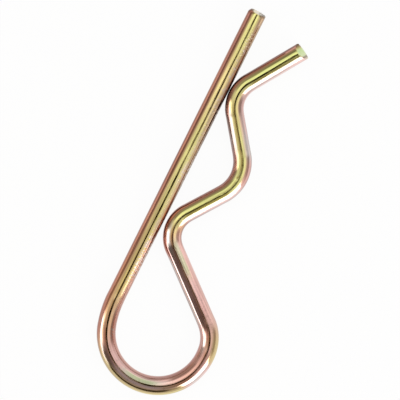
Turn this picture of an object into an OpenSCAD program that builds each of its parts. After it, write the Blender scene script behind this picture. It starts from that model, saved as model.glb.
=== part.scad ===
// Hitch clip bent from one length of round spring wire.
//
// The clip lies flat, with the wire's axis in the XY plane. The straight leg
// runs along Y and goes through the cross hole of a shaft. The bent leg stands
// on its +X side and hugs the outside of the same shaft.
// Origin: where the shaft's axis (Z) crosses the axis of the straight leg,
// level with the crown of the seat bend.

/* [Wire] */
// Diameter of the straight wire
wire_d = 4; // [3.4:0.1:4.4]
// How much the wire's radius swells in a bend; it swells twice as much in the loop
bend_swell = 0.03; // [0.01:0.01:0.06]

/* [Straight leg] */
// Reach of the straight leg past the shaft's axis, to its cropped tip
tip_reach = 33.8; // [26:0.1:48]

/* [Loop] */
// Radius of the easy bend that leads into the loop, to the wire's axis
ease_r = 22; // [17:0.5:30]
// Turn of the easy bend, in degrees
ease_turn = 17; // [10:1:24]
// Radius of the loop, to the wire's axis
loop_r = 11.2; // [10:0.1:13]
// Radius of the tighter shoulder that ends the loop, to the wire's axis
shoulder_r = 8.5; // [6:0.1:11]
// Turn of the shoulder, in degrees
shoulder_turn = 41; // [25:1:55]

/* [Bent leg] */
// Lean of the return towards the straight leg, in degrees
return_lean = 50; // [45:0.5:56]
// Radius of the neck bend, to the wire's axis
neck_r = 6; // [4.5:0.1:7.5]
// Lean of the rise away from the straight leg, in degrees
rise_lean = 35.5; // [30:0.5:42]
// Clear depth of the seat, from the straight leg's axis to the inside of its crown
seat_depth = 10.2; // [9:0.1:12]
// Radius of the seat bend, to the wire's axis
seat_r = 8; // [6:0.1:10]
// Lean of the fall back towards the straight leg, in degrees
fall_lean = 36.5; // [30:0.5:42]
// Radius of the nose bend that closes on the straight leg, to the wire's axis
nose_r = 6.5; // [4.5:0.1:8]
// Lean of the flare away from the straight leg, in degrees
flare_lean = 33; // [24:0.5:42]
// Length of the flare's straight, from the nose bend to its cropped tip
flare_l = 13.5; // [8:0.1:18]

/* [Gaps] */
// Gap between the neck bend and the straight leg
neck_gap = 0.5; // [0.2:0.1:1.5]
// Gap between the nose bend and the straight leg, next to nothing when unsprung
nose_gap = 0.1; // [0.1:0.1:1]

/* [Cropped tips] */
// Slope of the straight leg's tip face above the wire's axis, in degrees
tip_top_slope = 16; // [0:1:35]
// Slope of the straight leg's tip face below the wire's axis, in degrees
tip_low_slope = 13; // [0:1:35]
// Skew of the straight leg's tip face, in degrees; the clip's outer side is longer
tip_skew = 3; // [0:1:10]
// Slope of the flare's tip face above the wire's axis, in degrees
flare_top_slope = 33; // [0:1:40]
// Slope of the flare's tip face below the wire's axis, in degrees
flare_low_slope = 9; // [0:1:35]
// Skew of the flare's tip face, in degrees; the clip's outer side is longer
flare_skew = 5; // [0:1:10]

/* [Hidden] */
$fn = 96;

// A thinner stretch of wire runs this far into its thicker neighbour
overlap = 0.2;

wire_r = wire_d / 2;
bend_wire_r = wire_r + bend_swell;
loop_wire_r = wire_r + 2 * bend_swell;

// Turns made by the end of the loop and by the end of the shoulder, counted
// from the straight leg's run away from its tip
loop_end = 180 + return_lean - shoulder_turn;
shoulder_end = 180 + return_lean;
loop_turn = loop_end - ease_turn;

// How far the easy bend, the loop and the shoulder carry the wire across and up
loop_across = ease_r * (1 - cos(ease_turn))
    + loop_r * (cos(ease_turn) - cos(loop_end))
    + shoulder_r * (cos(loop_end) - cos(shoulder_end));
loop_climb = -ease_r * sin(ease_turn)
    + loop_r * (sin(ease_turn) - sin(loop_end))
    + shoulder_r * (sin(loop_end) - sin(shoulder_end));

// Distance between the straight leg's axis and the wire's axis at each bend
neck_x = wire_r + neck_gap + bend_wire_r;
crown_x = seat_depth + bend_wire_r;
nose_x = wire_r + nose_gap + bend_wire_r;

// What a bend of radius r takes of that distance, up to a lean of a degrees
function across(r, a) = r * (1 - cos(a));

// Straights that bring the neck, the crown and the nose to those distances
return_l = (loop_across - neck_x - across(neck_r, return_lean)) / sin(return_lean);
rise_l = (crown_x - neck_x - across(neck_r + seat_r, rise_lean)) / sin(rise_lean);
fall_l = (crown_x - nose_x - across(seat_r + nose_r, fall_lean)) / sin(fall_lean);

// Height of the crown above the straight leg's lower end
crown_climb = loop_climb
    + return_l * cos(return_lean)
    + neck_r * (sin(return_lean) + sin(rise_lean))
    + rise_l * cos(rise_lean)
    + seat_r * sin(rise_lean);
straight_l = tip_reach + crown_climb;

// Degrees that a length of wire takes on a bend of radius r
function degrees(l, r) = l / r * 180 / PI;

// Straight wire from the local origin along +Y, overlapping what comes before it
module straight(l, before = overlap, after = overlap) {
    translate([0, -before, 0])
        rotate([-90, 0, 0]) cylinder(r = wire_r, h = before + l + after);
}

// Bent wire that leaves the local origin along +Y and turns left by a degrees,
// or right where a is negative
module bend(r, a, section_r, before = 0, after = 0) {
    side = sign(a);
    translate([-side * r, 0, 0])
        rotate([0, 0, 90 - side * (90 + degrees(before, r))])
            rotate_extrude(angle = a + side * degrees(before + after, r))
                translate([r, 0]) circle(r = section_r);
}

// Moves its children from the start of a straight or a bend to its far end
module past_straight(l) {
    translate([0, l, 0]) children();
}

module past_bend(r, a) {
    side = sign(a);
    translate([-side * r, 0, 0])
        rotate([0, 0, a])
            translate([side * r, 0, 0]) children();
}

// What the cropping blade takes off a wire that starts at the local origin and
// runs along +Y: the face falls back above the wire's axis and juts out below it
module cropped_off(top_slope, low_slope, skew) {
    w = wire_d;
    rotate([90, 0, 90 - skew])
        linear_extrude(height = 2 * w, center = true)
            polygon([
                [0, 0],
                [w * tan(top_slope), w],
                [-w, w],
                [-w, -w],
                [-w * tan(low_slope), -w]
            ]);
}

// Spare wire beyond the local origin, enough for the jutting part of a face
function spare(low_slope, skew) = wire_r * (tan(low_slope) + tan(skew)) + overlap;

module straight_leg() {
    difference() {
        straight(straight_l, before = spare(tip_low_slope, tip_skew));
        cropped_off(tip_top_slope, tip_low_slope, tip_skew);
    }
}

module flare() {
    difference() {
        straight(flare_l, after = spare(flare_low_slope, flare_skew));
        past_straight(flare_l) mirror([0, 1, 0])
            cropped_off(flare_top_slope, flare_low_slope, flare_skew);
    }
}

// From the nose bend to the flare's tip
module nose_on() {
    turn = -(fall_lean + flare_lean);
    bend(nose_r, turn, bend_wire_r);
    past_bend(nose_r, turn) flare();
}

// From the seat bend to the flare's tip
module seat_on() {
    turn = rise_lean + fall_lean;
    bend(seat_r, turn, bend_wire_r);
    past_bend(seat_r, turn) {
        straight(fall_l);
        past_straight(fall_l) nose_on();
    }
}

// From the neck bend to the flare's tip
module neck_on() {
    turn = -(return_lean + rise_lean);
    bend(neck_r, turn, bend_wire_r);
    past_bend(neck_r, turn) {
        straight(rise_l);
        past_straight(rise_l) seat_on();
    }
}

// From the loop to the flare's tip
module loop_on() {
    bend(loop_r, loop_turn, loop_wire_r);
    past_bend(loop_r, loop_turn) {
        bend(shoulder_r, shoulder_turn, bend_wire_r, before = overlap);
        past_bend(shoulder_r, shoulder_turn) {
            straight(return_l);
            past_straight(return_l) neck_on();
        }
    }
}

// The whole clip, bent in order from the straight leg's tip
module clip_wire() {
    color([0.80, 0.70, 0.42])
        translate([0, tip_reach, 0]) rotate([0, 0, 180]) {
            straight_leg();
            past_straight(straight_l) {
                bend(ease_r, ease_turn, bend_wire_r, after = overlap);
                past_bend(ease_r, ease_turn) loop_on();
            }
        }
}

clip_wire();
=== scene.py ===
import math

import bpy
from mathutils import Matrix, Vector


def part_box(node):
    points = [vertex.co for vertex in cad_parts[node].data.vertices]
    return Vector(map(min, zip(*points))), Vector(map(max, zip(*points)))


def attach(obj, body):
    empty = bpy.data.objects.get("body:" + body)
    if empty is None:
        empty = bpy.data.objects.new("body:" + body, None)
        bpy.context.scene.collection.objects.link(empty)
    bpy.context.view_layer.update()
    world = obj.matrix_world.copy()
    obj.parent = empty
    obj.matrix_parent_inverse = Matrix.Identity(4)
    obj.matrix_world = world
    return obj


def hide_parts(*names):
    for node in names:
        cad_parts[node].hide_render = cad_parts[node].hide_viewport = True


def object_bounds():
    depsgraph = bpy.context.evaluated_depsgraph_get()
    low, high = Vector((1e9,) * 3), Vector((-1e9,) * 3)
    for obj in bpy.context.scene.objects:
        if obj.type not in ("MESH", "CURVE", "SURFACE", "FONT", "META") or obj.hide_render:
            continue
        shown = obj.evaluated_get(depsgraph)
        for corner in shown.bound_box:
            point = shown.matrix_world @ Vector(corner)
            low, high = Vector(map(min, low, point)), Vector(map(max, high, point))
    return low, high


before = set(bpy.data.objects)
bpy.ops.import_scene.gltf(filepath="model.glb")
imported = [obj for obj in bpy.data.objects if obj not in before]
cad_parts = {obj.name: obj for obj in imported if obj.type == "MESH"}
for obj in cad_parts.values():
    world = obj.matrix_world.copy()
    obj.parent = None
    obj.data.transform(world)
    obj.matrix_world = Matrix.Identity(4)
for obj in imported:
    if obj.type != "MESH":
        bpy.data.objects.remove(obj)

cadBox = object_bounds()
wireLow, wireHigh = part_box("clip_wire")
print("frame loaded, clip spans", [round(b - a, 5) for a, b in zip(wireLow, wireHigh)])

millimetre = 0.001


# node helpers

def feed(tree, value, socket):
    if isinstance(value, bpy.types.NodeSocket):
        tree.links.new(value, socket)
    else:
        socket.default_value = value


def addNode(tree, kind, inputs=None, **settings):
    node = tree.nodes.new(kind)
    for name, value in settings.items():
        setattr(node, name, value)
    for socket, value in (inputs or {}).items():
        feed(tree, value, node.inputs[socket])
    return node


def calc(tree, operation, *values, clamp=False):
    node = addNode(tree, "ShaderNodeMath", dict(enumerate(values)), operation=operation, use_clamp=clamp)
    return node.outputs[0]


def calcVector(tree, operation, *values):
    node = addNode(tree, "ShaderNodeVectorMath", operation=operation)
    sockets = [s for s in node.inputs if s.enabled]
    for value, socket in zip(values, sockets):
        feed(tree, value, socket)
    return [s for s in node.outputs if s.enabled][0]


def mapRange(tree, value, low, high, outLow=0.0, outHigh=1.0, smooth=True):
    node = addNode(tree, "ShaderNodeMapRange", {0: value, 1: low, 2: high, 3: outLow, 4: outHigh})
    node.interpolation_type = "SMOOTHSTEP" if smooth else "LINEAR"
    return node.outputs[0]


def between(tree, value, low, high, edge):
    # 1 from low to high, with each end softened by the edge to both sides.
    rise = mapRange(tree, value, low - edge, low + edge)
    return calc(tree, "MULTIPLY", rise, mapRange(tree, value, high + edge, high - edge))


def noise(tree, place, scale, detail=2.0, seed=None, **inputs):
    inputs = {"Vector": place, "Scale": scale, "Detail": detail, **inputs}
    if seed is None:
        return addNode(tree, "ShaderNodeTexNoise", inputs).outputs[0]
    return addNode(tree, "ShaderNodeTexNoise", {**inputs, "W": seed}, noise_dimensions="4D").outputs[0]


def mixColor(tree, factor, first, second, blend="MIX"):
    inputs = {0: factor, 6: first, 7: second}    # a Mix node's colours are its sockets 6 and 7
    return addNode(tree, "ShaderNodeMix", inputs, data_type="RGBA", blend_type=blend).outputs[2]


def colorRamp(tree, factor, stops):
    node = addNode(tree, "ShaderNodeValToRGB", {0: factor})
    ramp = node.color_ramp
    while len(ramp.elements) > 1:
        ramp.elements.remove(ramp.elements[-1])
    ramp.elements[0].position = stops[0][0]
    ramp.elements[0].color = (*stops[0][1], 1)
    for position, color in stops[1:]:
        ramp.elements.new(position).color = (*color, 1)
    return node.outputs[0]


# the wire

clip = {                      # mm and degrees
    "wireDiameter": 4.0,
    "bendSwell": 0.03,        # how much thicker the wire's radius is in a bend, twice that in the loop
    "tipReach": 33.8,         # straight leg past the shaft's axis
    "easeRadius": 22.0,       # the easy bend from the straight leg into the loop
    "easeTurn": 17.0,
    "loopRadius": 11.2,
    "shoulderRadius": 8.5,    # the tighter bend at the loop's end
    "shoulderTurn": 41.0,
    "returnLean": 50.0,       # each lean is from the straight leg's own direction
    "neckRadius": 6.0,
    "riseLean": 35.5,
    "seatDepth": 10.2,        # from the straight leg's axis to the near side of the seat's crown
    "seatRadius": 8.0,
    "fallLean": 36.5,
    "noseRadius": 6.5,
    "flareLean": 33.0,
    "flareLength": 13.5,
    "neckGap": 0.5,           # between the neck and the straight leg
    "noseGap": 0.03,          # between the nose and the straight leg
}
wireRadius = clip["wireDiameter"] / 2
radiusInMetres = wireRadius * millimetre

wireMesh = {
    "sides": 96,
    "ringStep": 0.3,          # mm between rings along the wire
    "fineStep": 0.1,          # mm between rings close to a cropped tip
    "fineReach": 1.6,         # mm of each end that gets the finer rings
    "rimRadius": 0.24,        # mm, how far the rim of a cropped face is rounded
    "rimRings": 7,
    "faceRings": 14,
    "faceCentre": 0.002,      # the innermost ring's share of a cropped face
    "faceCrown": 0.03,        # mm that a cropped face bulges
    "swellBlend": 1.2,        # mm over which the wire thickens into a bend
    "swellSamples": 4,        # on each side, to ease that
}


def wireStretches():
    # Straights as (length, None, swell) and bends as (radius, turn, swell), from the straight leg's tip.
    c = clip
    bendRadius = wireRadius + c["bendSwell"]
    loopEnd = 180 + c["returnLean"] - c["shoulderTurn"]
    shoulderEnd = 180 + c["returnLean"]

    def cos(a):
        return math.cos(math.radians(a))

    def sin(a):
        return math.sin(math.radians(a))

    loopAcross = (c["easeRadius"] * (1 - cos(c["easeTurn"]))
                  + c["loopRadius"] * (cos(c["easeTurn"]) - cos(loopEnd))
                  + c["shoulderRadius"] * (cos(loopEnd) - cos(shoulderEnd)))
    loopClimb = (-c["easeRadius"] * sin(c["easeTurn"])
                 + c["loopRadius"] * (sin(c["easeTurn"]) - sin(loopEnd))
                 + c["shoulderRadius"] * (sin(loopEnd) - sin(shoulderEnd)))
    neckX = wireRadius + c["neckGap"] + bendRadius
    crownX = c["seatDepth"] + bendRadius
    noseX = wireRadius + c["noseGap"] + bendRadius

    def slantLength(fromX, toX, radii, lean):
        # Straight stretch that is left between two places once the bends at its ends are taken off.
        return (toX - fromX - radii * (1 - cos(lean))) / sin(lean)

    returnLength = slantLength(neckX, loopAcross, c["neckRadius"], c["returnLean"])
    riseLength = slantLength(neckX, crownX, c["neckRadius"] + c["seatRadius"], c["riseLean"])
    fallLength = slantLength(noseX, crownX, c["seatRadius"] + c["noseRadius"], c["fallLean"])
    crownClimb = (loopClimb + returnLength * cos(c["returnLean"])
                  + c["neckRadius"] * (sin(c["returnLean"]) + sin(c["riseLean"]))
                  + riseLength * cos(c["riseLean"]) + c["seatRadius"] * sin(c["riseLean"]))
    swell = c["bendSwell"]
    return [
        (c["tipReach"] + crownClimb, None, 0),
        (c["easeRadius"], c["easeTurn"], swell),
        (c["loopRadius"], loopEnd - c["easeTurn"], 2 * swell),
        (c["shoulderRadius"], c["shoulderTurn"], swell),
        (returnLength, None, 0),
        (c["neckRadius"], -(c["returnLean"] + c["riseLean"]), swell),
        (riseLength, None, 0),
        (c["seatRadius"], c["riseLean"] + c["fallLean"], swell),
        (fallLength, None, 0),
        (c["noseRadius"], -(c["fallLean"] + c["flareLean"]), swell),
        (c["flareLength"], None, 0),
    ]


def lengthOf(stretches):
    return sum(size if turn is None else size * abs(math.radians(turn)) for size, turn, swell in stretches)


def pointAlong(distance, stretches):
    # Place, heading and swell of the wire at a distance from the straight leg's tip.
    x, y, heading = 0.0, clip["tipReach"], -math.pi / 2
    for index, (size, turn, swell) in enumerate(stretches):
        length = size if turn is None else size * abs(math.radians(turn))
        last = index == len(stretches) - 1
        part = distance if last else min(distance, length)
        if turn is None:
            x += part * math.cos(heading)
            y += part * math.sin(heading)
        else:
            side = math.copysign(1, turn)
            centreX, centreY = x - side * size * math.sin(heading), y + side * size * math.cos(heading)
            heading += side * part / size
            x, y = centreX + side * size * math.sin(heading), centreY - side * size * math.cos(heading)
        if distance <= length or last:
            return x, y, heading, swell
        distance -= length


def swellAlong(distance, stretches):
    # The wire's extra radius, eased where a straight meets a bend.
    half, count = wireMesh["swellBlend"] / 2, wireMesh["swellSamples"]
    samples = [max(0.0, distance + half * k / count) for k in range(-count, count + 1)]
    return sum(pointAlong(s, stretches)[3] for s in samples) / len(samples)


def guideRings(stretches):
    # Distance along and section scale of every ring, from the middle of one cropped face to the other.
    m = wireMesh
    total = lengthOf(stretches)
    rim, fine = m["rimRadius"], m["fineReach"]
    start = []
    for k in range(m["faceRings"]):
        share = k / m["faceRings"]
        crown = m["faceCrown"] * (1 - share ** 2)
        start.append((-crown, max(share, m["faceCentre"]) * (wireRadius - rim) / wireRadius))
    for k in range(m["rimRings"]):
        angle = math.pi / 2 * k / m["rimRings"]
        scale = (wireRadius - rim * (1 - math.sin(angle))) / wireRadius
        start.append((rim * (1 - math.cos(angle)), scale))
    count = int((fine - rim) / m["fineStep"])
    start += [(rim + (fine - rim) * k / count, 1.0) for k in range(count)]
    middle = total - 2 * fine
    count = int(middle / m["ringStep"])
    body = [(fine + middle * k / count, 1.0) for k in range(count + 1)]
    return start + body + [(total - s, scale) for s, scale in reversed(start)]


def buildGuide():
    # The wire's centreline as a mesh of edges, with what the sweep needs on its vertices.
    stretches = wireStretches()
    rings = guideRings(stretches)
    places, headings, scales = [], [], []
    for distance, scale in rings:
        x, y, heading, _ = pointAlong(distance, stretches)
        places.append((x * millimetre, y * millimetre, 0.0))
        headings.append((math.cos(heading), math.sin(heading), 0.0))
        radius = wireRadius + swellAlong(distance, stretches)
        scales.append(scale * radius * millimetre)
    mesh = bpy.data.meshes.new("wireGuide")
    mesh.from_pydata(places, [(i, i + 1) for i in range(len(places) - 1)], [])
    heading = mesh.attributes.new("heading", "FLOAT_VECTOR", "POINT")
    heading.data.foreach_set("vector", [v for h in headings for v in h])
    for name, values in (("along", [s * millimetre for s, _ in rings]), ("sectionRadius", scales)):
        attribute = mesh.attributes.new(name, "FLOAT", "POINT")
        attribute.data.foreach_set("value", values)
    return mesh


wireLength = lengthOf(wireStretches()) * millimetre
sweepInputs = {
    "Straight top slope": 12.0,   # degrees, how the blade left the straight leg's face
    "Straight low slope": 10.0,
    "Straight skew": 3.0,
    "Flare top slope": 30.0,
    "Flare low slope": 9.0,
    "Flare skew": 5.0,
    "Shear blend": 2.4,           # mm over which the rings turn into the face's slope
    "Roll over": 0.32,            # mm that the blade dragged the straight leg's outer rim down
    "Roll reach": 0.7,            # mm of wire that the roll-over takes
    "Burr": 0.09,                 # mm of ragged lip opposite the roll-over
    "Nick depth": 0.035,          # mm
    "Nick size": 0.32,            # mm
    "Nick share": 0.1,            # of the places that could hold one
    "Waviness": 0.012,            # mm, the wire's slow unevenness
    "Seed": 3.0,
}

sweepDetail = {                   # metres, or scales to the metre
    "lipScale": 2600.0,
    "lipGrain": (0.42, 0.7),      # where in the noise the ragged lip starts and is whole
    "lipRim": (0.0014, 0.0018),   # from the wire's axis, where it starts and is whole
    "lipSide": 0.0012,            # to the inner side, where it is whole
    "lipReach": 0.0003,
    "nickScale": 900.0,
    "nickStretch": (0.7, 1.0, 1.0),
    "nickFloor": 0.25,            # share of a nick that is its deepest part
    "waveScale": 170.0,
    "wavePart": (0.3, 0.7),       # where in the noise the wire is thinnest and thickest
    "worn": (0.0012, 0.0019),     # from the wire's axis, where nicks and waves start and are whole
    "faceEdge": 0.35,             # share of the rounded rim that has the cropped face's material
}


def buildSweepTree(wireMaterial, faceMaterial):
    tree = bpy.data.node_groups.new("bentWire", "GeometryNodeTree")
    detail = sweepDetail
    face = tree.interface
    face.new_socket("Geometry", in_out="INPUT", socket_type="NodeSocketGeometry")
    face.new_socket("Geometry", in_out="OUTPUT", socket_type="NodeSocketGeometry")
    face.new_socket("Sides", in_out="INPUT", socket_type="NodeSocketInt").default_value = wireMesh["sides"]
    face.new_socket("Length", in_out="INPUT", socket_type="NodeSocketFloat").default_value = wireLength
    for name, value in sweepInputs.items():
        face.new_socket(name, in_out="INPUT", socket_type="NodeSocketFloat").default_value = value
    given = tree.nodes.new("NodeGroupInput").outputs

    def named(name, kind):
        node = addNode(tree, "GeometryNodeInputNamedAttribute", {"Name": name}, data_type=kind)
        return [s for s in node.outputs if s.enabled][0]

    def inMetres(socket):
        return calc(tree, "MULTIPLY", socket, millimetre)

    # the sweep
    toCurve = addNode(tree, "GeometryNodeMeshToCurve", {"Mesh": given["Geometry"]})
    keep = addNode(tree, "GeometryNodeCaptureAttribute", {"Geometry": toCurve.outputs[0]})
    keep.domain = "POINT"
    keep.capture_items.new("VECTOR", "Centre")
    tree.links.new(tree.nodes.new("GeometryNodeInputPosition").outputs[0], keep.inputs["Centre"])
    section = addNode(tree, "GeometryNodeCurvePrimitiveCircle", {"Resolution": given["Sides"], "Radius": 1.0})
    swept = addNode(tree, "GeometryNodeCurveToMesh",
                    {"Curve": keep.outputs["Geometry"], "Profile Curve": section.outputs[0],
                     "Scale": named("sectionRadius", "FLOAT"), "Fill Caps": True})

    # where a vertex lies on the section: across is to the left of the wire's run, up is +Z
    position = tree.nodes.new("GeometryNodeInputPosition").outputs[0]
    arm = calcVector(tree, "SUBTRACT", position, keep.outputs["Centre"])
    heading = named("heading", "FLOAT_VECTOR")
    leftward = calcVector(tree, "CROSS_PRODUCT", (0, 0, 1), heading)
    across = calcVector(tree, "DOT_PRODUCT", arm, leftward)
    up = addNode(tree, "ShaderNodeSeparateXYZ", {0: arm}).outputs["Z"]
    along = named("along", "FLOAT")
    outward = calcVector(tree, "NORMALIZE", arm)
    place = addNode(tree, "ShaderNodeCombineXYZ", {0: along, 1: across, 2: up}).outputs[0]
    kept = addNode(tree, "GeometryNodeStoreNamedAttribute",
                   {"Geometry": swept.outputs[0], "Name": "wirePlace", "Value": place},
                   data_type="FLOAT_VECTOR", domain="POINT")
    place = named("wirePlace", "FLOAT_VECTOR")
    along, across, up = addNode(tree, "ShaderNodeSeparateXYZ", {0: place}).outputs

    # sheared faces: each end slides along the wire by its height and side
    fromTip = along
    fromFlare = calc(tree, "SUBTRACT", given["Length"], along)
    blend = inMetres(given["Shear blend"])

    def faceSlide(distance, top, low, skew):
        def slope(name):
            return calc(tree, "TANGENT", calc(tree, "RADIANS", given[name]))
        above = calc(tree, "MULTIPLY", calc(tree, "MAXIMUM", up, 0.0), slope(top))
        below = calc(tree, "MULTIPLY", calc(tree, "MINIMUM", up, 0.0), slope(low))
        aside = calc(tree, "MULTIPLY", across, slope(skew))
        total = calc(tree, "ADD", calc(tree, "ADD", above, below), aside)
        near = mapRange(tree, distance, 0.0, blend, 1.0, 0.0)
        return calc(tree, "MULTIPLY", total, near)

    tipSlide = faceSlide(fromTip, "Straight top slope", "Straight low slope", "Straight skew")
    flareSlide = faceSlide(fromFlare, "Flare top slope", "Flare low slope", "Flare skew")

    # ragged lip on the inner side of each face's rim
    grain = noise(tree, place, detail["lipScale"], seed=given["Seed"])
    ragged = mapRange(tree, grain, *detail["lipGrain"])
    onSection = addNode(tree, "ShaderNodeCombineXYZ", {0: across, 1: up}).outputs[0]
    reach = calcVector(tree, "LENGTH", onSection)
    raggedRim = calc(tree, "MULTIPLY", ragged, mapRange(tree, reach, *detail["lipRim"]))
    innerSide = mapRange(tree, across, 0.0, detail["lipSide"])
    innerBurr = calc(tree, "MULTIPLY", innerSide, inMetres(given["Burr"]))
    lipSize = calc(tree, "MULTIPLY", raggedRim, innerBurr)

    def lipSlide(distance):
        return calc(tree, "MULTIPLY", lipSize, mapRange(tree, distance, 0.0, detail["lipReach"], 1.0, 0.0))

    tipSlide = calc(tree, "SUBTRACT", tipSlide, lipSlide(fromTip))
    flareSlide = calc(tree, "SUBTRACT", flareSlide, lipSlide(fromFlare))
    slide = calc(tree, "SUBTRACT", tipSlide, flareSlide)
    slideMove = calcVector(tree, "SCALE", heading, slide)

    # roll-over on the outer side of the straight leg's tip
    outerSide = mapRange(tree, across, 0.0, -radiusInMetres)
    nearTip = mapRange(tree, fromTip, 0.0, inMetres(given["Roll reach"]), 1.0, 0.0)
    outerTip = calc(tree, "MULTIPLY", outerSide, nearTip)
    roll = calc(tree, "MULTIPLY", outerTip, inMetres(given["Roll over"]))

    # nicks and slow unevenness
    stretched = calcVector(tree, "MULTIPLY", place, detail["nickStretch"])
    cells = addNode(tree, "ShaderNodeTexVoronoi",
                    {"Vector": stretched, "Scale": detail["nickScale"], "W": given["Seed"]},
                    voronoi_dimensions="4D")
    nickReach = calc(tree, "MULTIPLY", inMetres(given["Nick size"]), detail["nickScale"])
    nickFloor = calc(tree, "MULTIPLY", nickReach, detail["nickFloor"])
    dimple = mapRange(tree, cells.outputs["Distance"], nickFloor, nickReach, 1.0, 0.0)
    pick = addNode(tree, "FunctionNodeSeparateColor", {0: cells.outputs["Color"]}).outputs[0]
    chosen = calc(tree, "LESS_THAN", pick, given["Nick share"])
    chosenDimple = calc(tree, "MULTIPLY", dimple, chosen)
    nick = calc(tree, "MULTIPLY", chosenDimple, inMetres(given["Nick depth"]))
    slow = noise(tree, place, detail["waveScale"], detail=1.0, seed=given["Seed"])
    thinning = mapRange(tree, slow, *detail["wavePart"], -1.0, 0.0, smooth=False)
    wave = calc(tree, "MULTIPLY", thinning, inMetres(given["Waviness"]))
    onSide = mapRange(tree, reach, *detail["worn"])
    sink = calc(tree, "SUBTRACT", calc(tree, "SUBTRACT", wave, nick), roll)
    sinkMove = calcVector(tree, "SCALE", outward, calc(tree, "MULTIPLY", sink, onSide))

    # both moves are read from the unmoved section, so they are added in one step
    moved = addNode(tree, "GeometryNodeSetPosition",
                    {"Geometry": kept.outputs[0], "Offset": calcVector(tree, "ADD", slideMove, sinkMove)})

    # materials: the wire everywhere, the cropped face inside each rim
    smooth = addNode(tree, "GeometryNodeSetShadeSmooth", {"Geometry": moved.outputs[0], "Shade Smooth": True})
    realised = addNode(tree, "GeometryNodeRealizeInstances", {"Geometry": smooth.outputs[0]})
    wireSet = addNode(tree, "GeometryNodeSetMaterial",
                      {"Geometry": realised.outputs[0], "Material": wireMaterial})
    rim = wireMesh["rimRadius"] * millimetre * detail["faceEdge"]
    atTip = calc(tree, "LESS_THAN", fromTip, rim)
    onFace = calc(tree, "MAXIMUM", atTip, calc(tree, "LESS_THAN", fromFlare, rim))
    faceSet = addNode(tree, "GeometryNodeSetMaterial",
                      {"Geometry": wireSet.outputs[0], "Selection": onFace, "Material": faceMaterial})
    out = tree.nodes.new("NodeGroupOutput")
    tree.links.new(faceSet.outputs[0], out.inputs[0])
    return tree


def buildWire(wireMaterial, faceMaterial):
    guide = buildGuide()
    wire = bpy.data.objects.new("clipWire", guide)
    bpy.context.collection.objects.link(wire)
    modifier = wire.modifiers.new("bentWire", "NODES")
    modifier.node_group = buildSweepTree(wireMaterial, faceMaterial)
    values = {"Sides": wireMesh["sides"], "Length": wireLength, **sweepInputs}
    for item in modifier.node_group.interface.items_tree:
        if item.in_out == "INPUT" and item.name in values:
            modifier[item.identifier] = values[item.name]
    evaluated = wire.evaluated_get(bpy.context.evaluated_depsgraph_get())
    mesh = bpy.data.meshes.new_from_object(evaluated)
    mesh.name = "clipWire"
    wire.modifiers.remove(modifier)
    wire.data = mesh
    for name in ("heading", "along", "sectionRadius"):
        mesh.attributes.remove(mesh.attributes[name])
    bpy.data.meshes.remove(guide)
    print("wire swept:", len(mesh.vertices), "vertices,", len(mesh.polygons), "faces")
    return wire


# materials

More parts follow.
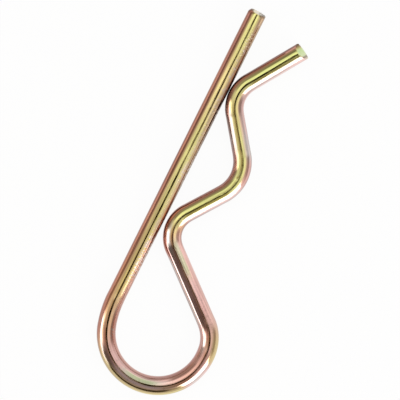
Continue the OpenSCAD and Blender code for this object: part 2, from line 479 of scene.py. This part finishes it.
# A list along the wire runs from the straight leg's tip (0) to the flare's (1). A side runs across the wire,
# from -1 on its outer side to 1 on its inner side: where a thing starts, where it is whole and, if they are
# given, how much of it there is at each. A fineness is a noise's scale to the metre.
plating = {
    # hue of the film as it thickens
    "film": [
        (0.00, (0.70, 0.73, 0.28)),
        (0.20, (0.80, 0.69, 0.30)),
        (0.40, (0.84, 0.60, 0.38)),
        (0.55, (0.88, 0.60, 0.52)),
        (0.70, (0.95, 0.65, 0.60)),
        (0.85, (0.88, 0.79, 0.75)),
        (1.00, (0.71, 0.77, 0.50)),
    ],
    # the film along the wire: place, thickness and how deep its colour is. Besides the film's own hue these
    # lists
    # hold light: deeper, darker film is painted shade where a reflection should be dim, as the outer flank's
    # deep copper is, and paler film is painted highlight where a reflection should read white
    "top": [
        (0.00, 0.12, 0.0), (0.045, 0.14, 0.0), (0.075, 0.26, 0.0), (0.12, 0.25, 0.0), (0.15, 0.17, 0.0),
        (0.23, 0.18, 0.0), (0.29, 0.25, 0.15), (0.34, 0.29, 0.25), (0.37, 0.36, 0.2), (0.405, 0.45, 0.3),
        (0.43, 0.64, 0.1), (0.45, 0.75, 0.0), (0.49, 0.75, 0.0), (0.51, 0.70, 0.1), (0.53, 0.58, 0.5),
        (0.56, 0.55, 0.5), (0.58, 0.43, 0.2), (0.60, 0.50, 0.2), (0.62, 0.65, 0.3), (0.645, 0.70, 0.1),
        (0.685, 0.68, 0.2), (0.702, 0.42, 0.1), (0.72, 0.22, 0.0), (0.74, 0.05, 0.0),
        (0.79, 0.07, 0.0), (0.84, 0.14, 0.0), (0.90, 0.20, 0.0), (0.93, 0.05, 0.0), (1.00, 0.02, 0.0),
    ],
    "outerFlank": [
        (0.00, 0.57, 1.15), (0.37, 0.55, 1.1), (0.40, 0.54, 1.0), (0.415, 0.42, 0.3), (0.43, 0.28, 0.0),
        (0.50, 0.25, 0.0), (0.52, 0.24, 0.0), (0.533, 0.82, 0.0), (0.550, 0.75, 0.0), (0.562, 0.32, 0.0),
        (0.58, 0.30, 0.0), (0.60, 0.55, 0.1), (0.625, 0.66, 0.2), (0.65, 0.67, 0.2), (0.69, 0.70, 0.2),
        (0.708, 0.62, 0.3), (0.718, 0.50, 0.4), (0.728, 0.50, 0.4), (0.74, 0.74, 0.0),
        (0.80, 0.74, 0.0), (0.812, 0.62, 0.4), (0.828, 0.66, 0.3), (0.84, 0.80, 0.0), (0.855, 0.80, 0.0),
        (0.87, 0.70, 0.0), (0.90, 0.66, 0.2), (0.93, 0.74, 0.0), (1.00, 0.76, 0.0),
    ],
    "innerFlank": [
        (0.00, 0.42, 0.1), (0.13, 0.41, 0.1), (0.20, 0.39, 0.0), (0.26, 0.43, 0.1), (0.30, 0.53, 0.4),
        (0.34, 0.56, 0.5), (0.40, 0.57, 0.8), (0.425, 0.63, 0.45), (0.50, 0.63, 0.3), (0.53, 0.62, 0.5),
        (0.56, 0.66, 0.4), (0.595, 0.70, 0.2), (0.61, 0.84, 0.0), (0.67, 0.80, 0.0), (0.685, 0.76, 0.0),
        (0.695, 0.58, 1.2), (0.72, 0.57, 1.2), (0.735, 0.57, 0.8), (0.78, 0.60, 0.7), (0.83, 0.60, 0.6),
        (0.86, 0.75, 0.0), (0.88, 0.70, 0.2), (0.895, 0.60, 0.8), (0.92, 0.60, 0.8), (1.00, 0.60, 0.8),
    ],
    "underside": [
        (0.00, 0.24, 0.0), (0.25, 0.34, 0.1), (0.45, 0.20, 0.0), (0.65, 0.38, 0.0), (0.85, 0.18, 0.0),
        (1.00, 0.28, 0.0),
    ],
    "outerFlankSide": (-0.2, -0.65),
    "innerFlankSide": (0.3, 0.75),
    "undersideHeight": (0.0, -0.5),    # in wire radii from its middle
    "depthDim": 0.12,                  # how much a full depth dims the film
    "drift": 0.14,                     # how much its thickness differs from place to place
    "undersideDrift": 3.0,             # and how many times more on the underside
    "driftSize": 0.009,                # metres
    "driftStretch": (0.45, 1.6, 1.6),
    "streaks": 0.22,                   # how much its thickness differs from streak to streak
    "streakShade": (1.09, 0.64),       # how bright it is between the streaks and in them
    "lineShade": (0.82, 1.06),         # and where a drawn line is deep and where it is high
    "streakFineness": 1300.0,
    # patches where the film differs: start and end along the wire, outer and inner edge across it, and the
    # film's thickness and depth. A few give another hue; most are painted light, pale film as painted
    # highlight where a reflection reads white and deep film as painted shade where it reads dark
    "hueAndLightPatches": [
        (0.384, 0.436, -0.66, -0.48, 0.78, 0.0),
        (0.400, 0.418, -0.36, -0.02, 0.52, 0.9),
        (0.428, 0.452, 0.08, 0.72, 0.70, 0.4),
        (0.455, 0.495, 0.02, 0.50, 0.94, 0.15),
        (0.568, 0.594, 0.44, 0.70, 0.82, 0.0),
        (0.581, 0.599, 0.08, 0.38, 0.55, 0.9),
        (0.660, 0.704, -0.56, -0.04, 0.95, 0.8),
        (0.688, 0.718, 0.24, 0.62, 0.84, 0.0),
        (0.702, 0.714, -0.12, 0.06, 0.50, 1.6),
        (0.845, 0.892, 0.38, 0.60, 0.78, 0.0),
    ],
    "patchAlongEdge": 0.01,
    "patchAcrossEdge": 0.12,
    # painted shade darkens the film where the wire is widest, this much along it, for the shaded floor those
    # rims mirror
    "outerRimShade": [
        (0.00, 1.00), (0.22, 1.00), (0.31, 0.65), (0.38, 0.45), (0.44, 0.00), (0.62, 0.05), (0.68, 0.20),
        (0.70, 0.75), (0.76, 0.35), (0.80, 0.00), (0.85, 0.40), (0.90, 0.25), (0.95, 0.00),
    ],
    "innerRimShade": [
        (0.00, 0.50), (0.19, 0.95), (0.31, 0.50), (0.38, 0.00), (0.46, 0.40), (0.54, 0.95), (0.65, 0.90),
        (0.70, 0.20), (0.76, 0.95), (0.85, 1.00), (1.00, 1.00),
    ],
    "rimSide": (0.72, 0.92),           # turned round for the outer rim
    "rimShade": (0.55, 0.48, 0.47),
    # painted shade on the inner flank, most where the wire comes close to itself; it is rougher there too
    "creviceShade": [
        (0.00, 0.20), (0.06, 0.70), (0.09, 1.00), (0.13, 0.95), (0.17, 0.60), (0.22, 0.55), (0.27, 0.50),
        (0.31, 0.25), (0.34, 0.05), (0.66, 0.00), (0.70, 0.10), (0.74, 0.15), (0.78, 0.30), (0.86, 0.30),
        (0.89, 0.60), (0.93, 0.50), (0.96, 0.30), (1.00, 0.35),
    ],
    "creviceShadeSide": (0.74, 0.99),
    "creviceShadeCover": 0.85,
    # one dark brown for this painted shade and for the dirt in the marks below
    "shadeAndDirtColor": (0.13, 0.095, 0.075),
    "creviceRoughness": 0.25,
    # a paler painted shade of it that spreads up toward the top where it is darkest
    "softShadeSide": (0.3, 0.75, 0.0, 0.6),
    "softShadeFocus": 3.0,
    "softShadeColor": (0.40, 0.31, 0.27),
    # scuffs in clusters, mostly over the inner half
    "scuffs": [
        (0.00, 0.55), (0.03, 0.85), (0.13, 0.75), (0.17, 0.60), (0.30, 0.50), (0.38, 0.60), (0.42, 0.25),
        (1.00, 0.20),
    ],
    "scuffSide": (0.05, 0.35, 0.1, 1.0),
    "scuffClusters": (0.46, 0.58, 0.08, 1.0),
    "clusterFineness": 380.0,
    "scuffColor": (0.88, 0.83, 0.79),
    "scuffPale": 0.55,
    "scuffDark": 0.6,
    "scuffRoughness": 0.5,
    "scuffSink": 0.25,                 # of the drawn lines' height
    # a fine mottle rubbed pale over the same half
    "smears": [
        (0.00, 0.80), (0.08, 1.00), (0.13, 1.35), (0.27, 1.45), (0.34, 1.30), (0.38, 1.20), (0.44, 0.40),
        (1.00, 0.20),
    ],
    "smearSide": (0.12, 0.4, 0.0, 0.85),
    "smearSpread": (0.38, 0.60, 0.25, 1.0),
    "spreadFineness": 150.0,
    "smearFineness": 1300.0,
    "smearColor": (0.75, 0.62, 0.56),
    # specks of dirt on the top
    "specks": [
        (0.00, 0.30), (0.36, 0.45), (0.42, 0.85), (0.53, 0.75), (0.60, 0.90), (0.69, 0.90), (0.72, 0.40),
        (1.00, 0.35),
    ],
    "speckSide": (0.75, 0.5, 0.0, 0.2),
    "speckFineness": 1700.0,
    # painted shade on the straight leg's outer rim where it rolls over at the tip; its reach is how many mm
    # from the tip it ends and is whole
    "tipShade": {"shade": (0.55, 0.48, 0.40), "reach": (1.3, 0.39), "side": (-0.42, -0.75)},
    # the torn metal on its inner rim, dark partly as painted shade of the burr
    "tornAndShaded": {"reach": (0.7, 0.3), "side": (0.0, 0.2), "grain": (0.46, 0.52), "cover": 0.8},
    "lineFineness": 3000.0,
    "lineRoughness": (0.045, 0.145),   # where a drawn line is deep and where it is high
    "lineDepth": 0.000036,             # metres
    "lineStrength": 0.8,
}


def startMaterial(name):
    material = bpy.data.materials.new(name)
    material.use_nodes = True
    material.node_tree.nodes.clear()
    shader = material.node_tree.nodes.new("ShaderNodeBsdfPrincipled")
    output = material.node_tree.nodes.new("ShaderNodeOutputMaterial")
    material.node_tree.links.new(shader.outputs[0], output.inputs["Surface"])
    return material, material.node_tree, shader


def startGroup(name, vectors, values, outputs):
    # A shader group's tree with its inputs' sockets and its outputs' sockets.
    tree = bpy.data.node_groups.new(name, "ShaderNodeTree")
    face = tree.interface
    for socketName in vectors:
        face.new_socket(socketName, in_out="INPUT", socket_type="NodeSocketVector")
    for socketName, value in values.items():
        face.new_socket(socketName, in_out="INPUT", socket_type="NodeSocketFloat").default_value = value
    for socketName, kind in outputs.items():
        face.new_socket(socketName, in_out="OUTPUT", socket_type=kind)
    return tree, tree.nodes.new("NodeGroupInput").outputs, tree.nodes.new("NodeGroupOutput").inputs


def buildFilmGroup():
    # The chromate film: its hue follows its thickness, which drifts from place to place, and deepens.
    values = {"Thickness": 0.2, "Depth": 0.0, "Drift": 0.2, "Drift size": 0.01, "Seed": 0.0}
    tree, given, out = startGroup("chromateFilm", ["Place"], values, {"Color": "NodeSocketColor"})
    scale = calc(tree, "DIVIDE", 1.0, given["Drift size"])
    stretched = calcVector(tree, "MULTIPLY", given["Place"], plating["driftStretch"])
    cloud = noise(tree, stretched, scale, seed=given["Seed"], Roughness=0.45)
    wander = calc(tree, "MULTIPLY", calc(tree, "SUBTRACT", cloud, 0.5), given["Drift"])
    film = colorRamp(tree, calc(tree, "ADD", given["Thickness"], wander, clamp=True), plating["film"])
    power = calc(tree, "ADD", given["Depth"], 1.0)
    channels = addNode(tree, "ShaderNodeSeparateColor", {0: film}).outputs
    deep = [calc(tree, "POWER", channel, power) for channel in channels]
    color = addNode(tree, "ShaderNodeCombineColor", dict(enumerate(deep))).outputs[0]
    dim = calc(tree, "SUBTRACT", 1.0, calc(tree, "MULTIPLY", given["Depth"], plating["depthDim"]))
    tree.links.new(calcVector(tree, "SCALE", color, dim), out["Color"])
    return tree


drawn = {
    "stretch": (0.03, 1.0, 1.0),
    "part": (0.35, 0.65),        # where in the noise a line is deep and where it is high
}


def buildDrawnGroup():
    # Fine lines that the drawing die left along the wire.
    outputs = {"Height": "NodeSocketFloat", "Mask": "NodeSocketFloat"}
    tree, given, out = startGroup("drawnLines", ["Place"], {"Fineness": 5000.0, "Seed": 0.0}, outputs)
    stretched = calcVector(tree, "MULTIPLY", given["Place"], drawn["stretch"])
    lines = noise(tree, stretched, given["Fineness"], detail=3.0, seed=given["Seed"], Roughness=0.6)
    tree.links.new(lines, out["Height"])
    tree.links.new(mapRange(tree, lines, *drawn["part"]), out["Mask"])
    return tree


strokes = {
    "slant": 0.6,                # radians from straight across
    "stretch": (1.7, 0.8, 0.8),
    "least": 0.22,               # how far in from each end of the noise a stroke starts at an amount of 0
    "reach": 0.24,               # and how much further in at an amount of 1
    "edge": 0.08,
}


def buildScuffGroup():
    # Short strokes rubbed across the wire, pale where the film is gone and dark where dirt sits.
    values = {"Fineness": 2100.0, "Amount": 0.3, "Seed": 0.0}
    outputs = {"Pale": "NodeSocketFloat", "Dark": "NodeSocketFloat"}
    tree, given, out = startGroup("scuffMarks", ["Place"], values, outputs)
    turn = (0, 0, strokes["slant"])
    slanted = addNode(tree, "ShaderNodeMapping",
                      {"Vector": given["Place"], "Rotation": turn, "Scale": strokes["stretch"]})
    marks = noise(tree, slanted.outputs[0], given["Fineness"], seed=given["Seed"])
    reach = calc(tree, "MULTIPLY", given["Amount"], strokes["reach"])
    high = calc(tree, "SUBTRACT", 1 - strokes["least"], reach)
    low = calc(tree, "ADD", strokes["least"], reach)
    tree.links.new(mapRange(tree, marks, high, calc(tree, "ADD", high, strokes["edge"])), out["Pale"])
    tree.links.new(mapRange(tree, marks, low, calc(tree, "SUBTRACT", low, strokes["edge"])), out["Dark"])
    return tree


def addGroup(tree, group, inputs):
    node = tree.nodes.new("ShaderNodeGroup")
    node.node_tree = group
    for name, value in inputs.items():
        if isinstance(value, bpy.types.NodeSocket):
            tree.links.new(value, node.inputs[name])
        else:
            node.inputs[name].default_value = value
    return node


def buildWireMaterial(filmGroup, linesGroup, scuffGroup):
    material, tree, shader = startMaterial("yellowZincWire")
    place = addNode(tree, "ShaderNodeAttribute", attribute_name="wirePlace").outputs["Vector"]
    along, across, up = addNode(tree, "ShaderNodeSeparateXYZ", {0: place}).outputs
    share = calc(tree, "DIVIDE", along, wireLength)
    aside = calc(tree, "DIVIDE", across, radiusInMetres)
    height = calc(tree, "DIVIDE", up, radiusInMetres)

    lines = addGroup(tree, linesGroup, {"Place": place, "Fineness": plating["lineFineness"], "Seed": 1.0})
    streaks = addGroup(tree, linesGroup, {"Place": place, "Fineness": plating["streakFineness"], "Seed": 8.0})
    streak = calc(tree, "SUBTRACT", streaks.outputs["Height"], 0.5)
    streak = calc(tree, "MULTIPLY", streak, 2 * plating["streaks"])

    def amountAlong(name):
        # a ramp holds values up to 1, so it holds the halves of these
        halves = [(at, (value / 2, value / 2, value / 2)) for at, value in plating[name]]
        return calc(tree, "MULTIPLY", colorRamp(tree, share, halves), 2.0)

    def filmColor(thickness, depth, drift, seed):
        given = {"Place": place, "Thickness": thickness, "Depth": depth, "Drift": drift,
                 "Drift size": plating["driftSize"], "Seed": seed}
        return addGroup(tree, filmGroup, given).outputs["Color"]

    def filmAlong(name, seed, drift=plating["drift"]):
        stops = [(at, (thickness, depth / 2, 0)) for at, thickness, depth in plating[name]]
        both = colorRamp(tree, share, stops)
        thickness, depth, _ = addNode(tree, "ShaderNodeSeparateColor", {0: both}).outputs
        thickness = calc(tree, "ADD", thickness, streak)
        return filmColor(thickness, calc(tree, "MULTIPLY", depth, 2.0), drift, seed)

    # film on the top and the two flanks, its patches, some of another hue and most of painted highlight
    # and shade, and the underside
    onOuter = mapRange(tree, aside, *plating["outerFlankSide"])
    onInner = mapRange(tree, aside, *plating["innerFlankSide"])
    color = mixColor(tree, onOuter, filmAlong("top", seed=4.0), filmAlong("outerFlank", seed=5.0))
    color = mixColor(tree, onInner, color, filmAlong("innerFlank", seed=6.0))
    for count, (start, end, outer, inner, thickness, depth) in enumerate(plating["hueAndLightPatches"]):
        onPatch = calc(tree, "MULTIPLY", between(tree, share, start, end, plating["patchAlongEdge"]),
                       between(tree, aside, outer, inner, plating["patchAcrossEdge"]))
        patch = filmColor(calc(tree, "ADD", streak, thickness), depth, plating["drift"], seed=20.0 + count)
        color = mixColor(tree, onPatch, color, patch)
    below = mapRange(tree, height, *plating["undersideHeight"])
    drift = plating["undersideDrift"] * plating["drift"]
    color = mixColor(tree, below, color, filmAlong("underside", seed=7.0, drift=drift))

    # painted shade on both rims, where they mirror the shaded floor
    for name, side in (("outerRimShade", -1), ("innerRimShade", 1)):
        start, whole = plating["rimSide"]
        rimShadeMask = mapRange(tree, aside, start * side, whole * side)
        rimShadeMask = calc(tree, "MULTIPLY", rimShadeMask, amountAlong(name))
        color = mixColor(tree, rimShadeMask, color, (*plating["rimShade"], 1), blend="MULTIPLY")

    # painted shade where the wire comes close to itself, and its softer spread
    creviceShade = amountAlong("creviceShade")
    softShade = calc(tree, "POWER", creviceShade, plating["softShadeFocus"])
    softShade = calc(tree, "MULTIPLY", softShade, mapRange(tree, aside, *plating["softShadeSide"]))
    color = mixColor(tree, softShade, color, (*plating["softShadeColor"], 1))
    creviceShade = calc(tree, "MULTIPLY", creviceShade, mapRange(tree, aside, *plating["creviceShadeSide"]))
    # one dark brown for the painted shade and for the dirt of the marks
    shadeAndDirt = (*plating["shadeAndDirtColor"], 1)
    color = mixColor(tree, calc(tree, "MULTIPLY", creviceShade, plating["creviceShadeCover"]), color, shadeAndDirt)

    def marksAlong(name, seed, **settings):
        given = {"Place": place, "Amount": amountAlong(name), "Seed": seed, **settings}
        return addGroup(tree, scuffGroup, given)

    # smears, then scuffs over them and specks of dirt
    smears = marksAlong("smears", seed=9.0, Fineness=plating["smearFineness"])
    spread = noise(tree, place, plating["spreadFineness"], detail=1.0)
    rubbed = calc(tree, "MULTIPLY", smears.outputs["Pale"], mapRange(tree, aside, *plating["smearSide"]))
    rubbed = calc(tree, "MULTIPLY", rubbed, mapRange(tree, spread, *plating["smearSpread"]))
    color = mixColor(tree, rubbed, color, (*plating["smearColor"], 1))
    scuffs = marksAlong("scuffs", seed=2.0)
    clusters = noise(tree, place, plating["clusterFineness"])
    innerHalf = calc(tree, "MULTIPLY", mapRange(tree, aside, *plating["scuffSide"]),
                     mapRange(tree, clusters, *plating["scuffClusters"]))
    pale = calc(tree, "MULTIPLY", scuffs.outputs["Pale"], innerHalf)
    dark = calc(tree, "MULTIPLY", scuffs.outputs["Dark"], innerHalf)
    scuffColor = (*plating["scuffColor"], 1)
    color = mixColor(tree, calc(tree, "MULTIPLY", pale, plating["scuffPale"]), color, scuffColor)
    color = mixColor(tree, calc(tree, "MULTIPLY", dark, plating["scuffDark"]), color, shadeAndDirt)
    specks = marksAlong("specks", seed=12.0, Fineness=plating["speckFineness"])
    onTop = mapRange(tree, calc(tree, "ABSOLUTE", aside), *plating["speckSide"])
    color = mixColor(tree, calc(tree, "MULTIPLY", specks.outputs["Dark"], onTop), color, shadeAndDirt)

    def nearTip(settings):
        ends, whole = settings["reach"]
        onWire = mapRange(tree, along, ends * millimetre, whole * millimetre)
        return calc(tree, "MULTIPLY", onWire, mapRange(tree, aside, *settings["side"]))

    # painted shade on the straight leg's outer rim where it rolls over at the tip, and torn metal on its
    # inner rim, dark partly as painted shade of the burr
    tipShade, tornAndShaded = plating["tipShade"], plating["tornAndShaded"]
    color = mixColor(tree, nearTip(tipShade), color, (*tipShade["shade"], 1), blend="MULTIPLY")
    grain = mapRange(tree, lines.outputs["Height"], *tornAndShaded["grain"])
    tornShadedRim = calc(tree, "MULTIPLY", nearTip(tornAndShaded), grain)
    color = mixColor(tree, calc(tree, "MULTIPLY", tornShadedRim, tornAndShaded["cover"]), color, shadeAndDirt)

    # the drawn lines darken the film a little and catch the light
    fine = mapRange(tree, lines.outputs["Mask"], 0.0, 1.0, *plating["lineShade"], smooth=False)
    broad = mapRange(tree, streaks.outputs["Mask"], 0.0, 1.0, *plating["streakShade"], smooth=False)
    color = calcVector(tree, "SCALE", color, calc(tree, "MULTIPLY", fine, broad))
    tree.links.new(color, shader.inputs["Base Color"])

    rough = mapRange(tree, lines.outputs["Mask"], 0.0, 1.0, *plating["lineRoughness"], smooth=False)
    rough = calc(tree, "ADD", rough, calc(tree, "MULTIPLY", pale, plating["scuffRoughness"]))
    rough = calc(tree, "ADD", rough, calc(tree, "MULTIPLY", creviceShade, plating["creviceRoughness"]))
    tree.links.new(rough, shader.inputs["Roughness"])
    sunk = calc(tree, "MULTIPLY", pale, plating["scuffSink"])
    relief = calc(tree, "SUBTRACT", lines.outputs["Height"], sunk)
    bump = addNode(tree, "ShaderNodeBump", {"Height": relief, "Strength": plating["lineStrength"],
                                            "Distance": plating["lineDepth"]})
    tree.links.new(bump.outputs[0], shader.inputs["Normal"])
    shader.inputs["Metallic"].default_value = 1.0
    return material


cropped = {
    # colours across each cropped face, from the wire's outer side (0) to its inner side (1)
    "straightFace": [
        (0.00, (0.16, 0.10, 0.06)), (0.22, (0.26, 0.17, 0.09)), (0.31, (0.80, 0.72, 0.54)),
        (0.60, (0.86, 0.81, 0.68)), (0.78, (0.56, 0.50, 0.42)), (1.00, (0.38, 0.34, 0.30)),
    ],
    "flareFace": [
        (0.00, (0.80, 0.74, 0.60)), (0.08, (0.66, 0.60, 0.48)), (0.15, (0.34, 0.28, 0.21)),
        (0.20, (0.44, 0.38, 0.29)), (0.27, (0.70, 0.78, 0.48)), (0.62, (0.60, 0.74, 0.36)),
        (0.70, (0.62, 0.64, 0.28)), (0.79, (0.44, 0.35, 0.13)), (0.88, (0.22, 0.14, 0.07)),
        (1.00, (0.13, 0.08, 0.05)),
    ],
    # torn metal on the straight leg's face, dark partly as painted shade of the burr, and the shares of the
    # way across it where it starts and is whole
    "tornSide": (0.5, 0.65),
    "tornGrain": (0.48, 0.54),
    "tornFineness": 3200.0,
    "tornCover": 0.9,
    "tornAndShadeColor": (0.10, 0.08, 0.07),
    "grainFineness": 5200.0,
    "grainPart": (0.3, 0.7),
    "roughness": (0.32, 0.52),         # where the grain is deep and where it is high
    "grainDepth": 0.00004,             # metres
    "grainStrength": 0.5,
}


def buildFaceMaterial():
    material, tree, shader = startMaterial("croppedFace")
    place = addNode(tree, "ShaderNodeAttribute", attribute_name="wirePlace").outputs["Vector"]
    along, across, _ = addNode(tree, "ShaderNodeSeparateXYZ", {0: place}).outputs
    aside = mapRange(tree, across, -radiusInMetres, radiusInMetres, smooth=False)
    straight = colorRamp(tree, aside, cropped["straightFace"])
    flare = colorRamp(tree, aside, cropped["flareFace"])
    atFlare = calc(tree, "GREATER_THAN", along, wireLength / 2)
    color = mixColor(tree, atFlare, straight, flare)

    # torn metal, its dark partly painted shade of the burr
    tornAndShaded = mapRange(tree, noise(tree, place, cropped["tornFineness"]), *cropped["tornGrain"])
    atStraight = calc(tree, "SUBTRACT", 1.0, atFlare)
    where = calc(tree, "MULTIPLY", mapRange(tree, aside, *cropped["tornSide"]), atStraight)
    tornAndShaded = calc(tree, "MULTIPLY", calc(tree, "MULTIPLY", tornAndShaded, where), cropped["tornCover"])
    color = mixColor(tree, tornAndShaded, color, (*cropped["tornAndShadeColor"], 1))
    tree.links.new(color, shader.inputs["Base Color"])

    grain = noise(tree, place, cropped["grainFineness"], detail=4.0)
    rough = mapRange(tree, grain, *cropped["grainPart"], *cropped["roughness"], smooth=False)
    tree.links.new(rough, shader.inputs["Roughness"])
    bump = addNode(tree, "ShaderNodeBump", {"Height": grain, "Strength": cropped["grainStrength"],
                                            "Distance": cropped["grainDepth"]})
    tree.links.new(bump.outputs[0], shader.inputs["Normal"])
    shader.inputs["Metallic"].default_value = 1.0
    return material


wireMaterial = buildWireMaterial(buildFilmGroup(), buildDrawnGroup(), buildScuffGroup())
clipWire = buildWire(wireMaterial, buildFaceMaterial())
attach(clipWire, "root")
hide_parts("clip_wire")
print("materials and wire ready")


# studio

view = {
    "centre": (0.0069, -0.0080),   # what the middle of the frame shows
    "width": 0.08625,              # metres across the frame at the wire's axis
    "turn": 26.48,                 # degrees that the clip leans to the right
    "height": 0.9,                 # metres above the wire
}

studio = {
    "level": (0.92, 0.90, 0.88),   # the room's light where nothing else is
    "floorOwn": 0.95,              # share of its own white in the floor that is seen straight or mirrored
    "floorColor": (0.86, 0.86, 0.86),
    "floorHalf": 3.0,              # metres
    # what the room holds, by direction: azimuth round the frame from its right and degrees from overhead,
    # then half width, half height and softness in degrees, and its colour
    "room": [
        ("rightWall", 350, 76, 22, 24, 16, (0.50, 0.45, 0.41)),
        ("farWall", 96, 84, 26, 9, 8, (0.6, 0.52, 0.47)),
        ("leftWall", 125, 72, 20, 38, 12, (0.42, 0.38, 0.33)),
        ("leftWallEnd", 158, 86, 16, 32, 24, (0.36, 0.32, 0.28)),
        ("farWindow", 42, 55, 28, 38, 20, (1.2, 1.15, 1.15)),
        ("brightCeiling", 117, 12, 30, 25, 22, (1.45, 1.45, 1.35)),
        ("keyHalo", 310, 72, 26, 30, 20, (1.1, 1.05, 1.0)),
        ("rightWindow", 352, 29, 16, 9, 9, (1.4, 1.35, 1.27)),
        ("darkFigure", 244, 40, 50, 45, 14, (0.45, 0.38, 0.37)),
        ("dimCorner", 290, 20, 18, 22, 12, (0.42, 0.33, 0.22)),
        ("dimShelf", 178, 8, 16, 16, 12, (0.76, 0.64, 0.51)),
        ("darkArm", 208, 39, 12, 35, 15, (0.18, 0.15, 0.13)),
        ("doorway", 243, 74, 36, 15, 8, (0.075, 0.058, 0.042)),
        ("reflectorCard", 178, 58, 12, 14, 9, (2.9, 2.8, 2.7)),
        ("reflectorEdge", 193, 68, 5, 7, 6, (1.9, 1.85, 1.8)),
        ("reflectorFoot", 200, 84, 13, 9, 6, (2.3, 2.3, 2.35)),
    ],
    # round things overhead: azimuth, degrees from overhead, half size, softness and colour
    "round": [
        ("dimDisc", 309, 6, 10.4, 6, (0.42, 0.30, 0.10)),
        ("darkDisc", 307, 6.5, 8.6, 3, (0.01, 0.007, 0.002)),
    ],
    # azimuth, degrees from overhead, width and height in metres, brightness
    "softboxes": [
        ("keySoftbox", 309, 66, 0.42, 0.50, 2.8),
    ],
    "distance": 0.7,               # metres from the frame's middle to a softbox
}


def direction(azimuth, fromOverhead):
    turn, down = math.radians(azimuth + view["turn"]), math.radians(fromOverhead)
    return (math.sin(down) * math.cos(turn), math.sin(down) * math.sin(turn), math.cos(down))


def buildPatchGroup():
    # A soft-edged rectangle of the room, in azimuth and in angle from overhead.
    values = dict.fromkeys(("From overhead", "Half width", "Half height", "Softness"), 0.0)
    tree, given, out = startGroup("roomPatch", ["Toward", "Azimuth way"], values, {"Mask": "NodeSocketFloat"})
    x, y, z = addNode(tree, "ShaderNodeSeparateXYZ", {0: given["Toward"]}).outputs
    level = addNode(tree, "ShaderNodeCombineXYZ", {0: x, 1: y}).outputs[0]
    facing = calcVector(tree, "DOT_PRODUCT", calcVector(tree, "NORMALIZE", level), given["Azimuth way"])
    aside = calc(tree, "DEGREES", calc(tree, "ARCCOSINE", facing))
    down = calc(tree, "DEGREES", calc(tree, "ARCCOSINE", z))
    off = calc(tree, "ABSOLUTE", calc(tree, "SUBTRACT", down, given["From overhead"]))
    half = calc(tree, "MULTIPLY", given["Softness"], 0.5)

    def inside(value, size):
        return mapRange(tree, value, calc(tree, "ADD", size, half), calc(tree, "SUBTRACT", size, half))

    mask = calc(tree, "MULTIPLY", inside(aside, given["Half width"]), inside(off, given["Half height"]))
    tree.links.new(mask, out["Mask"])
    return tree


def buildWorld():
    world = bpy.data.worlds.new("studio")
    bpy.context.scene.world = world
    world.use_nodes = True
    tree = world.node_tree
    tree.nodes.clear()
    toward = addNode(tree, "ShaderNodeTexCoord").outputs["Generated"]
    patchGroup = buildPatchGroup()
    light = (*studio["level"], 1)
    for name, azimuth, fromOverhead, width, height, soft, color in studio["room"]:
        patch = addGroup(tree, patchGroup, {
            "Toward": toward, "Azimuth way": direction(azimuth, 90), "From overhead": fromOverhead,
            "Half width": width, "Half height": height, "Softness": soft})
        light = mixColor(tree, patch.outputs["Mask"], light, (*color, 1))
        light.node.label = name
    for name, azimuth, fromOverhead, size, soft, color in studio["round"]:
        facing = calcVector(tree, "DOT_PRODUCT", toward, direction(azimuth, fromOverhead))
        away = calc(tree, "DEGREES", calc(tree, "ARCCOSINE", facing))
        inside = mapRange(tree, away, size + soft / 2, size - soft / 2)
        light = mixColor(tree, inside, light, (*color, 1))
        light.node.label = name
    background = addNode(tree, "ShaderNodeBackground", {"Color": light, "Strength": 1.0})
    out = tree.nodes.new("ShaderNodeOutputWorld")
    tree.links.new(background.outputs[0], out.inputs[0])


def buildSoftboxes():
    for name, azimuth, fromOverhead, width, height, brightness in studio["softboxes"]:
        lamp = bpy.data.lights.new(name, "AREA")
        lamp.shape = "RECTANGLE"
        lamp.size, lamp.size_y = width, height
        lamp.energy = brightness * math.pi * width * height
        softbox = bpy.data.objects.new(name, lamp)
        bpy.context.collection.objects.link(softbox)
        toward = Vector(direction(azimuth, fromOverhead))
        softbox.location = Vector((*view["centre"], 0)) + toward * studio["distance"]
        softbox.rotation_euler = toward.to_track_quat("Z", "Y").to_euler()
        softbox.visible_camera = False


def buildFloor():
    lowest = cadBox[0].z
    half = studio["floorHalf"]
    mesh = bpy.data.meshes.new("floor")
    corners = [(-half, -half, lowest), (half, -half, lowest), (half, half, lowest), (-half, half, lowest)]
    mesh.from_pydata(corners, [], [(0, 1, 2, 3)])
    floor = bpy.data.objects.new("floor", mesh)
    bpy.context.collection.objects.link(floor)
    material, tree, shader = startMaterial("palePaper")
    shader.inputs["Base Color"].default_value = (*studio["floorColor"], 1)
    shader.inputs["Roughness"].default_value = 0.9
    shader.inputs["Specular IOR Level"].default_value = 0.0
    white = addNode(tree, "ShaderNodeEmission", {"Color": (1, 1, 1, 1), "Strength": 1.0})
    rays = addNode(tree, "ShaderNodeLightPath").outputs
    mirrored = calc(tree, "MAXIMUM", rays["Is Glossy Ray"], rays["Is Transmission Ray"])
    seen = calc(tree, "MAXIMUM", rays["Is Camera Ray"], mirrored)
    share = calc(tree, "MULTIPLY", seen, studio["floorOwn"])
    mixed = addNode(tree, "ShaderNodeMixShader", {0: share, 1: shader.outputs[0], 2: white.outputs[0]})
    output = [n for n in tree.nodes if n.type == "OUTPUT_MATERIAL"][0]
    tree.links.new(mixed.outputs[0], output.inputs["Surface"])
    mesh.materials.append(material)


def buildCamera():
    data = bpy.data.cameras.new("camera")
    data.lens = data.sensor_width * view["height"] / view["width"]
    data.clip_start, data.clip_end = 0.01, 20.0
    camera = bpy.data.objects.new("camera", data)
    bpy.context.collection.objects.link(camera)
    camera.location = (*view["centre"], view["height"])
    camera.rotation_euler = (0, 0, math.radians(view["turn"]))
    bpy.context.scene.camera = camera


bpy.context.scene.view_settings.view_transform = "Standard"
buildWorld()
buildSoftboxes()
buildFloor()
buildCamera()
print("studio ready")
